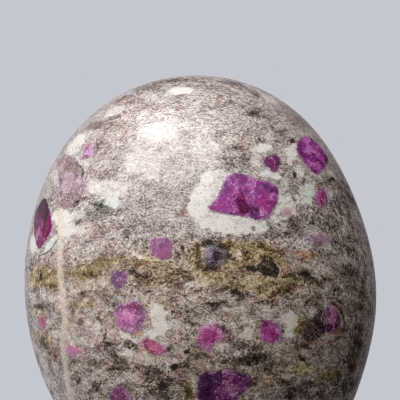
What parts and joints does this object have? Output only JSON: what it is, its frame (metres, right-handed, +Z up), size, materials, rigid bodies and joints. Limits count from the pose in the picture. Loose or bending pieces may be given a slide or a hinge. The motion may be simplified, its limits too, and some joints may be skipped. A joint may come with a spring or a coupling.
{
  "type": "polished ruby in albite stone",
  "caption": "Polished egg-like free-form of albite rock with ruby crystals ground flush in its surface; stands on a small ground flat.",
  "frame": {"origin": "on the resting plane, under the middle of the stone's bounding box", "axes": "+Z up along the stone's height, -Y towards the stone's front, the side with the large ruby, +X to the front's right"},
  "size_m": [0.0622, 0.0598, 0.0742],
  "materials": {
    "polished_rock": "polished"
  },
  "bodies": {
    "root": {"polished_stone": "polished_rock"}
  },
  "joints": []
}
